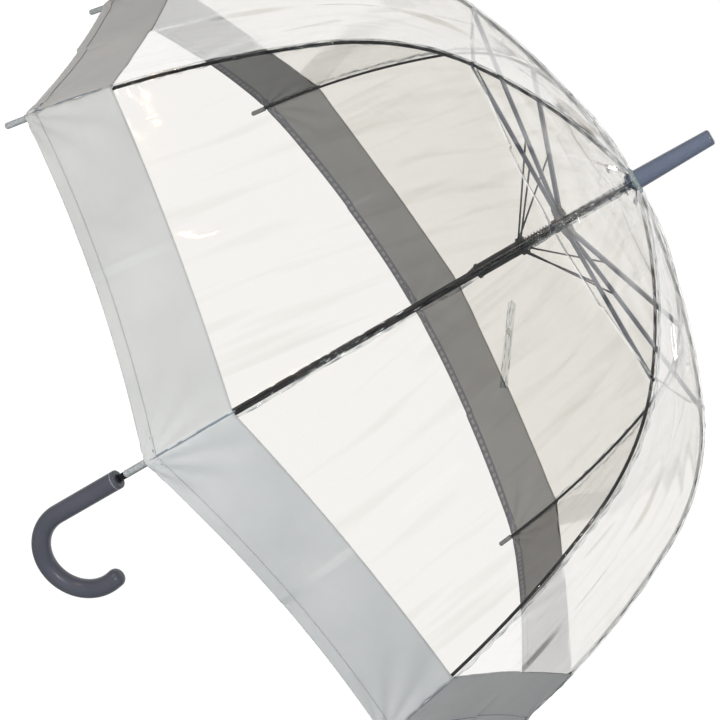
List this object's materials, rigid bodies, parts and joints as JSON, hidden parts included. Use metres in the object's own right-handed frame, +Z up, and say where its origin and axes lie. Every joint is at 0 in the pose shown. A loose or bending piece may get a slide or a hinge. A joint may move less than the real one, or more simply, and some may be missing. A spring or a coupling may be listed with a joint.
{
  "type": "umbrella",
  "caption": "Clear dome stick umbrella shown open, with a crook handle, hinged ribs, stretchers and struts, sliding hub and runner; it folds shut along the shaft.",
  "frame": {"origin": "middle of the straight grip of the crook handle, on the shaft's axis", "axes": "+Z up the shaft towards the ferrule; +X the way the crook bends"},
  "size_m": [0.8302, 0.8302, 0.8451],
  "materials": {
    "steel_black": "black baked enamel, satin",
    "steel_grey": "grey-blue zinc and lacquer, satin",
    "spring_steel": "bare spring steel",
    "handle_plastic": "moulded slate-grey plastic, glossy",
    "black_plastic": "moulded black plastic",
    "clear_plastic": "clear moulded plastic",
    "clear_film": "clear PVC film with a light-grey woven rim band"
  },
  "bodies": {
    "shaft": {"shaft": "steel_black", "ferrule": "handle_plastic", "crown_washer": "clear_plastic", "top_notch": "black_plastic", "handle": "handle_plastic", "handle_collar": "black_plastic"},
    "upper_hub": {"upper_hub": "black_plastic", "spring": "spring_steel"},
    "runner": {"runner": "black_plastic"},
    "open_catch": {"open_catch": "spring_steel"},
    "closed_catch": {"closed_catch": "spring_steel"},
    "inner_rib_0": {"inner_rib_0": "steel_black"},
    "outer_rib_0": {"outer_rib_0": "steel_black"},
    "stretcher_0": {"stretcher_0": "steel_grey"},
    "strut_0": {"strut_0": "steel_grey"},
    "upper_gore_0": {"upper_gore_0": "clear_film"},
    "lower_gore_0": {"lower_gore_0": "clear_film"},
    "inner_rib_1": {"inner_rib_1": "steel_black"},
    "outer_rib_1": {"outer_rib_1": "steel_black"},
    "stretcher_1": {"stretcher_1": "steel_grey"},
    "strut_1": {"strut_1": "steel_grey"},
    "upper_gore_1": {"upper_gore_1": "clear_film"},
    "lower_gore_1": {"lower_gore_1": "clear_film"},
    "inner_rib_2": {"inner_rib_2": "steel_black"},
    "outer_rib_2": {"outer_rib_2": "steel_black"},
    "stretcher_2": {"stretcher_2": "steel_grey"},
    "strut_2": {"strut_2": "steel_grey"},
    "upper_gore_2": {"upper_gore_2": "clear_film"},
    "lower_gore_2": {"lower_gore_2": "clear_film"},
    "inner_rib_3": {"inner_rib_3": "steel_black"},
    "outer_rib_3": {"outer_rib_3": "steel_black"},
    "stretcher_3": {"stretcher_3": "steel_grey"},
    "strut_3": {"strut_3": "steel_grey"},
    "upper_gore_3": {"upper_gore_3": "clear_film"},
    "lower_gore_3": {"lower_gore_3": "clear_film"},
    "inner_rib_4": {"inner_rib_4": "steel_black"},
    "outer_rib_4": {"outer_rib_4": "steel_black"},
    "stretcher_4": {"stretcher_4": "steel_grey"},
    "strut_4": {"strut_4": "steel_grey"},
    "upper_gore_4": {"upper_gore_4": "clear_film"},
    "lower_gore_4": {"lower_gore_4": "clear_film", "closing_strap": "clear_film"},
    "inner_rib_5": {"inner_rib_5": "steel_black"},
    "outer_rib_5": {"outer_rib_5": "steel_black"},
    "stretcher_5": {"stretcher_5": "steel_grey"},
    "strut_5": {"strut_5": "steel_grey"},
    "upper_gore_5": {"upper_gore_5": "clear_film"},
    "lower_gore_5": {"lower_gore_5": "clear_film"},
    "inner_rib_6": {"inner_rib_6": "steel_black"},
    "outer_rib_6": {"outer_rib_6": "steel_black"},
    "stretcher_6": {"stretcher_6": "steel_grey"},
    "strut_6": {"strut_6": "steel_grey"},
    "upper_gore_6": {"upper_gore_6": "clear_film"},
    "lower_gore_6": {"lower_gore_6": "clear_film"},
    "inner_rib_7": {"inner_rib_7": "steel_black"},
    "outer_rib_7": {"outer_rib_7": "steel_black"},
    "stretcher_7": {"stretcher_7": "steel_grey"},
    "strut_7": {"strut_7": "steel_grey"},
    "upper_gore_7": {"upper_gore_7": "clear_film"},
    "lower_gore_7": {"lower_gore_7": "clear_film"}
  },
  "joints": [
    {"name": "runner_slide", "type": "slide", "parent": "shaft", "child": "runner", "axis": [0, 0, -1], "range_m": [0, 0.32075], "deforming": ["spring", "upper_gore_0", "upper_gore_1", "upper_gore_2", "upper_gore_3", "upper_gore_4", "upper_gore_5", "upper_gore_6", "upper_gore_7", "lower_gore_0", "lower_gore_1", "lower_gore_2", "lower_gore_3", "lower_gore_4", "lower_gore_5", "lower_gore_6", "lower_gore_7", "closing_strap"]},
    {"name": "upper_hub_slide", "type": "slide", "parent": "shaft", "child": "upper_hub", "axis": [0, 0, -1], "range_m": [0, 0.34139]},
    {"name": "open_catch_press", "type": "slide", "parent": "shaft", "child": "open_catch", "axis": [1, 0, 0], "range_m": [0, 0.0021], "stiffness_N_per_m": 400, "springref_m": -0.0005},
    {"name": "closed_catch_press", "type": "slide", "parent": "shaft", "child": "closed_catch", "axis": [1, 0, 0], "range_m": [0, 0.0021], "stiffness_N_per_m": 400, "springref_m": -0.0005},
    {"name": "inner_rib_0_hinge", "type": "hinge", "parent": "shaft", "child": "inner_rib_0", "pos_m": [-0.00104, -0.00591, 0.6657], "axis": [0.9848, -0.1736, 0], "range_deg": [0, 73.26]},
    {"name": "outer_rib_0_flex", "type": "hinge", "parent": "inner_rib_0", "child": "outer_rib_0", "pos_m": [-0.03743, -0.21227, 0.61597], "axis": [0.9848, -0.1736, 0], "range_deg": [-40.38, 0]},
    {"name": "stretcher_0_rivet", "type": "hinge", "parent": "inner_rib_0", "child": "stretcher_0", "pos_m": [-0.03743, -0.21227, 0.61597], "axis": [0.9848, -0.1736, 0], "range_deg": [-155.34, 0]},
    {"name": "strut_0_hook", "type": "hinge", "parent": "stretcher_0", "child": "strut_0", "pos_m": [-0.01491, -0.08454, 0.59974], "axis": [0.9848, -0.1736, 0], "range_deg": [0, 32.32]},
    {"name": "upper_gore_0_fold", "type": "hinge", "parent": "shaft", "child": "upper_gore_0", "pos_m": [-0.00298, -0.00468, 0.6679], "axis": [0.8434, -0.5373, 0], "range_deg": [0, 71.45]},
    {"name": "lower_gore_0_fold", "type": "hinge", "parent": "upper_gore_0", "child": "lower_gore_0", "pos_m": [-0.10743, -0.16864, 0.61799], "axis": [0.8434, -0.5373, 0], "range_deg": [-40.65, 0]},
    {"name": "inner_rib_1_hinge", "type": "hinge", "parent": "shaft", "child": "inner_rib_1", "pos_m": [-0.00491, -0.00344, 0.6657], "axis": [0.5736, -0.8192, 0], "range_deg": [0, 73.26]},
    {"name": "outer_rib_1_flex", "type": "hinge", "parent": "inner_rib_1", "child": "outer_rib_1", "pos_m": [-0.17657, -0.12363, 0.61597], "axis": [0.5736, -0.8192, 0], "range_deg": [-40.38, 0]},
    {"name": "stretcher_1_rivet", "type": "hinge", "parent": "inner_rib_1", "child": "stretcher_1", "pos_m": [-0.17657, -0.12363, 0.61597], "axis": [0.5736, -0.8192, 0], "range_deg": [-155.34, 0]},
    {"name": "strut_1_hook", "type": "hinge", "parent": "stretcher_1", "child": "strut_1", "pos_m": [-0.07032, -0.04924, 0.59974], "axis": [0.5736, -0.8192, 0], "range_deg": [0, 32.32]},
    {"name": "upper_gore_1_fold", "type": "hinge", "parent": "shaft", "child": "upper_gore_1", "pos_m": [-0.00541, -0.0012, 0.6679], "axis": [0.2164, -0.9763, 0], "range_deg": [0, 71.45]},
    {"name": "lower_gore_1_fold", "type": "hinge", "parent": "upper_gore_1", "child": "lower_gore_1", "pos_m": [-0.19521, -0.04328, 0.61799], "axis": [0.2164, -0.9763, 0], "range_deg": [-40.65, 0]},
    {"name": "inner_rib_2_hinge", "type": "hinge", "parent": "shaft", "child": "inner_rib_2", "pos_m": [-0.00591, 0.00104, 0.6657], "axis": [-0.1736, -0.9848, 0], "range_deg": [0, 73.26]},
    {"name": "outer_rib_2_flex", "type": "hinge", "parent": "inner_rib_2", "child": "outer_rib_2", "pos_m": [-0.21227, 0.03743, 0.61597], "axis": [-0.1736, -0.9848, 0], "range_deg": [-40.38, 0]},
    {"name": "stretcher_2_rivet", "type": "hinge", "parent": "inner_rib_2", "child": "stretcher_2", "pos_m": [-0.21227, 0.03743, 0.61597], "axis": [-0.1736, -0.9848, 0], "range_deg": [-155.34, 0]},
    {"name": "strut_2_hook", "type": "hinge", "parent": "stretcher_2", "child": "strut_2", "pos_m": [-0.08454, 0.01491, 0.59974], "axis": [-0.1736, -0.9848, 0], "range_deg": [0, 32.32]},
    {"name": "upper_gore_2_fold", "type": "hinge", "parent": "shaft", "child": "upper_gore_2", "pos_m": [-0.00468, 0.00298, 0.6679], "axis": [-0.5373, -0.8434, 0], "range_deg": [0, 71.45]},
    {"name": "lower_gore_2_fold", "type": "hinge", "parent": "upper_gore_2", "child": "lower_gore_2", "pos_m": [-0.16864, 0.10743, 0.61799], "axis": [-0.5373, -0.8434, 0], "range_deg": [-40.65, 0]},
    {"name": "inner_rib_3_hinge", "type": "hinge", "parent": "shaft", "child": "inner_rib_3", "pos_m": [-0.00344, 0.00491, 0.6657], "axis": [-0.8192, -0.5736, 0], "range_deg": [0, 73.26]},
    {"name": "outer_rib_3_flex", "type": "hinge", "parent": "inner_rib_3", "child": "outer_rib_3", "pos_m": [-0.12363, 0.17657, 0.61597], "axis": [-0.8192, -0.5736, 0], "range_deg": [-40.38, 0]},
    {"name": "stretcher_3_rivet", "type": "hinge", "parent": "inner_rib_3", "child": "stretcher_3", "pos_m": [-0.12363, 0.17657, 0.61597], "axis": [-0.8192, -0.5736, 0], "range_deg": [-155.34, 0]},
    {"name": "strut_3_hook", "type": "hinge", "parent": "stretcher_3", "child": "strut_3", "pos_m": [-0.04924, 0.07032, 0.59974], "axis": [-0.8192, -0.5736, 0], "range_deg": [0, 32.32]},
    {"name": "upper_gore_3_fold", "type": "hinge", "parent": "shaft", "child": "upper_gore_3", "pos_m": [-0.0012, 0.00541, 0.6679], "axis": [-0.9763, -0.2164, 0], "range_deg": [0, 71.45]},
    {"name": "lower_gore_3_fold", "type": "hinge", "parent": "upper_gore_3", "child": "lower_gore_3", "pos_m": [-0.04328, 0.19521, 0.61799], "axis": [-0.9763, -0.2164, 0], "range_deg": [-40.65, 0]},
    {"name": "inner_rib_4_hinge", "type": "hinge", "parent": "shaft", "child": "inner_rib_4", "pos_m": [0.00104, 0.00591, 0.6657], "axis": [-0.9848, 0.1736, 0], "range_deg": [0, 73.26]},
    {"name": "outer_rib_4_flex", "type": "hinge", "parent": "inner_rib_4", "child": "outer_rib_4", "pos_m": [0.03743, 0.21227, 0.61597], "axis": [-0.9848, 0.1736, 0], "range_deg": [-40.38, 0]},
    {"name": "stretcher_4_rivet", "type": "hinge", "parent": "inner_rib_4", "child": "stretcher_4", "pos_m": [0.03743, 0.21227, 0.61597], "axis": [-0.9848, 0.1736, 0], "range_deg": [-155.34, 0]},
    {"name": "strut_4_hook", "type": "hinge", "parent": "stretcher_4", "child": "strut_4", "pos_m": [0.01491, 0.08454, 0.59974], "axis": [-0.9848, 0.1736, 0], "range_deg": [0, 32.32]},
    {"name": "upper_gore_4_fold", "type": "hinge", "parent": "shaft", "child": "upper_gore_4", "pos_m": [0.00298, 0.00468, 0.6679], "axis": [-0.8434, 0.5373, 0], "range_deg": [0, 71.45]},
    {"name": "lower_gore_4_fold", "type": "hinge", "parent": "upper_gore_4", "child": "lower_gore_4", "pos_m": [0.10743, 0.16864, 0.61799], "axis": [-0.8434, 0.5373, 0], "range_deg": [-40.65, 0]},
    {"name": "inner_rib_5_hinge", "type": "hinge", "parent": "shaft", "child": "inner_rib_5", "pos_m": [0.00491, 0.00344, 0.6657], "axis": [-0.5736, 0.8192, 0], "range_deg": [0, 73.26]},
    {"name": "outer_rib_5_flex", "type": "hinge", "parent": "inner_rib_5", "child": "outer_rib_5", "pos_m": [0.17657, 0.12363, 0.61597], "axis": [-0.5736, 0.8192, 0], "range_deg": [-40.38, 0]},
    {"name": "stretcher_5_rivet", "type": "hinge", "parent": "inner_rib_5", "child": "stretcher_5", "pos_m": [0.17657, 0.12363, 0.61597], "axis": [-0.5736, 0.8192, 0], "range_deg": [-155.34, 0]},
    {"name": "strut_5_hook", "type": "hinge", "parent": "stretcher_5", "child": "strut_5", "pos_m": [0.07032, 0.04924, 0.59974], "axis": [-0.5736, 0.8192, 0], "range_deg": [0, 32.32]},
    {"name": "upper_gore_5_fold", "type": "hinge", "parent": "shaft", "child": "upper_gore_5", "pos_m": [0.00541, 0.0012, 0.6679], "axis": [-0.2164, 0.9763, 0], "range_deg": [0, 71.45]},
    {"name": "lower_gore_5_fold", "type": "hinge", "parent": "upper_gore_5", "child": "lower_gore_5", "pos_m": [0.19521, 0.04328, 0.61799], "axis": [-0.2164, 0.9763, 0], "range_deg": [-40.65, 0]},
    {"name": "inner_rib_6_hinge", "type": "hinge", "parent": "shaft", "child": "inner_rib_6", "pos_m": [0.00591, -0.00104, 0.6657], "axis": [0.1736, 0.9848, 0], "range_deg": [0, 73.26]},
    {"name": "outer_rib_6_flex", "type": "hinge", "parent": "inner_rib_6", "child": "outer_rib_6", "pos_m": [0.21227, -0.03743, 0.61597], "axis": [0.1736, 0.9848, 0], "range_deg": [-40.38, 0]},
    {"name": "stretcher_6_rivet", "type": "hinge", "parent": "inner_rib_6", "child": "stretcher_6", "pos_m": [0.21227, -0.03743, 0.61597], "axis": [0.1736, 0.9848, 0], "range_deg": [-155.34, 0]},
    {"name": "strut_6_hook", "type": "hinge", "parent": "stretcher_6", "child": "strut_6", "pos_m": [0.08454, -0.01491, 0.59974], "axis": [0.1736, 0.9848, 0], "range_deg": [0, 32.32]},
    {"name": "upper_gore_6_fold", "type": "hinge", "parent": "shaft", "child": "upper_gore_6", "pos_m": [0.00468, -0.00298, 0.6679], "axis": [0.5373, 0.8434, 0], "range_deg": [0, 71.45]},
    {"name": "lower_gore_6_fold", "type": "hinge", "parent": "upper_gore_6", "child": "lower_gore_6", "pos_m": [0.16864, -0.10743, 0.61799], "axis": [0.5373, 0.8434, 0], "range_deg": [-40.65, 0]},
    {"name": "inner_rib_7_hinge", "type": "hinge", "parent": "shaft", "child": "inner_rib_7", "pos_m": [0.00344, -0.00491, 0.6657], "axis": [0.8192, 0.5736, 0], "range_deg": [0, 73.26]},
    {"name": "outer_rib_7_flex", "type": "hinge", "parent": "inner_rib_7", "child": "outer_rib_7", "pos_m": [0.12363, -0.17657, 0.61597], "axis": [0.8192, 0.5736, 0], "range_deg": [-40.38, 0]},
    {"name": "stretcher_7_rivet", "type": "hinge", "parent": "inner_rib_7", "child": "stretcher_7", "pos_m": [0.12363, -0.17657, 0.61597], "axis": [0.8192, 0.5736, 0], "range_deg": [-155.34, 0]},
    {"name": "strut_7_hook", "type": "hinge", "parent": "stretcher_7", "child": "strut_7", "pos_m": [0.04924, -0.07032, 0.59974], "axis": [0.8192, 0.5736, 0], "range_deg": [0, 32.32]},
    {"name": "upper_gore_7_fold", "type": "hinge", "parent": "shaft", "child": "upper_gore_7", "pos_m": [0.0012, -0.00541, 0.6679], "axis": [0.9763, 0.2164, 0], "range_deg": [0, 71.45]},
    {"name": "lower_gore_7_fold", "type": "hinge", "parent": "upper_gore_7", "child": "lower_gore_7", "pos_m": [0.04328, -0.19521, 0.61799], "axis": [0.9763, 0.2164, 0], "range_deg": [-40.65, 0]}
  ],
  "couplings": [
    {"joint": "upper_hub_slide", "follows": "runner_slide", "ratio": 1.0643},
    {"joint": "inner_rib_0_hinge", "follows": "runner_slide", "rad_per_m": 3.9859},
    {"joint": "outer_rib_0_flex", "follows": "runner_slide", "rad_per_m": -2.1968},
    {"joint": "stretcher_0_rivet", "follows": "runner_slide", "rad_per_m": -8.4521},
    {"joint": "strut_0_hook", "follows": "runner_slide", "rad_per_m": 1.7582},
    {"joint": "upper_gore_0_fold", "follows": "runner_slide", "rad_per_m": 3.8873},
    {"joint": "lower_gore_0_fold", "follows": "runner_slide", "rad_per_m": -2.2114},
    {"joint": "inner_rib_1_hinge", "follows": "runner_slide", "rad_per_m": 3.9859},
    {"joint": "outer_rib_1_flex", "follows": "runner_slide", "rad_per_m": -2.1968},
    {"joint": "stretcher_1_rivet", "follows": "runner_slide", "rad_per_m": -8.4521},
    {"joint": "strut_1_hook", "follows": "runner_slide", "rad_per_m": 1.7582},
    {"joint": "upper_gore_1_fold", "follows": "runner_slide", "rad_per_m": 3.8873},
    {"joint": "lower_gore_1_fold", "follows": "runner_slide", "rad_per_m": -2.2114},
    {"joint": "inner_rib_2_hinge", "follows": "runner_slide", "rad_per_m": 3.9859},
    {"joint": "outer_rib_2_flex", "follows": "runner_slide", "rad_per_m": -2.1968},
    {"joint": "stretcher_2_rivet", "follows": "runner_slide", "rad_per_m": -8.4521},
    {"joint": "strut_2_hook", "follows": "runner_slide", "rad_per_m": 1.7582},
    {"joint": "upper_gore_2_fold", "follows": "runner_slide", "rad_per_m": 3.8873},
    {"joint": "lower_gore_2_fold", "follows": "runner_slide", "rad_per_m": -2.2114},
    {"joint": "inner_rib_3_hinge", "follows": "runner_slide", "rad_per_m": 3.9859},
    {"joint": "outer_rib_3_flex", "follows": "runner_slide", "rad_per_m": -2.1968},
    {"joint": "stretcher_3_rivet", "follows": "runner_slide", "rad_per_m": -8.4521},
    {"joint": "strut_3_hook", "follows": "runner_slide", "rad_per_m": 1.7582},
    {"joint": "upper_gore_3_fold", "follows": "runner_slide", "rad_per_m": 3.8873},
    {"joint": "lower_gore_3_fold", "follows": "runner_slide", "rad_per_m": -2.2114},
    {"joint": "inner_rib_4_hinge", "follows": "runner_slide", "rad_per_m": 3.9859},
    {"joint": "outer_rib_4_flex", "follows": "runner_slide", "rad_per_m": -2.1968},
    {"joint": "stretcher_4_rivet", "follows": "runner_slide", "rad_per_m": -8.4521},
    {"joint": "strut_4_hook", "follows": "runner_slide", "rad_per_m": 1.7582},
    {"joint": "upper_gore_4_fold", "follows": "runner_slide", "rad_per_m": 3.8873},
    {"joint": "lower_gore_4_fold", "follows": "runner_slide", "rad_per_m": -2.2114},
    {"joint": "inner_rib_5_hinge", "follows": "runner_slide", "rad_per_m": 3.9859},
    {"joint": "outer_rib_5_flex", "follows": "runner_slide", "rad_per_m": -2.1968},
    {"joint": "stretcher_5_rivet", "follows": "runner_slide", "rad_per_m": -8.4521},
    {"joint": "strut_5_hook", "follows": "runner_slide", "rad_per_m": 1.7582},
    {"joint": "upper_gore_5_fold", "follows": "runner_slide", "rad_per_m": 3.8873},
    {"joint": "lower_gore_5_fold", "follows": "runner_slide", "rad_per_m": -2.2114},
    {"joint": "inner_rib_6_hinge", "follows": "runner_slide", "rad_per_m": 3.9859},
    {"joint": "outer_rib_6_flex", "follows": "runner_slide", "rad_per_m": -2.1968},
    {"joint": "stretcher_6_rivet", "follows": "runner_slide", "rad_per_m": -8.4521},
    {"joint": "strut_6_hook", "follows": "runner_slide", "rad_per_m": 1.7582},
    {"joint": "upper_gore_6_fold", "follows": "runner_slide", "rad_per_m": 3.8873},
    {"joint": "lower_gore_6_fold", "follows": "runner_slide", "rad_per_m": -2.2114},
    {"joint": "inner_rib_7_hinge", "follows": "runner_slide", "rad_per_m": 3.9859},
    {"joint": "outer_rib_7_flex", "follows": "runner_slide", "rad_per_m": -2.1968},
    {"joint": "stretcher_7_rivet", "follows": "runner_slide", "rad_per_m": -8.4521},
    {"joint": "strut_7_hook", "follows": "runner_slide", "rad_per_m": 1.7582},
    {"joint": "upper_gore_7_fold", "follows": "runner_slide", "rad_per_m": 3.8873},
    {"joint": "lower_gore_7_fold", "follows": "runner_slide", "rad_per_m": -2.2114}
  ]
}
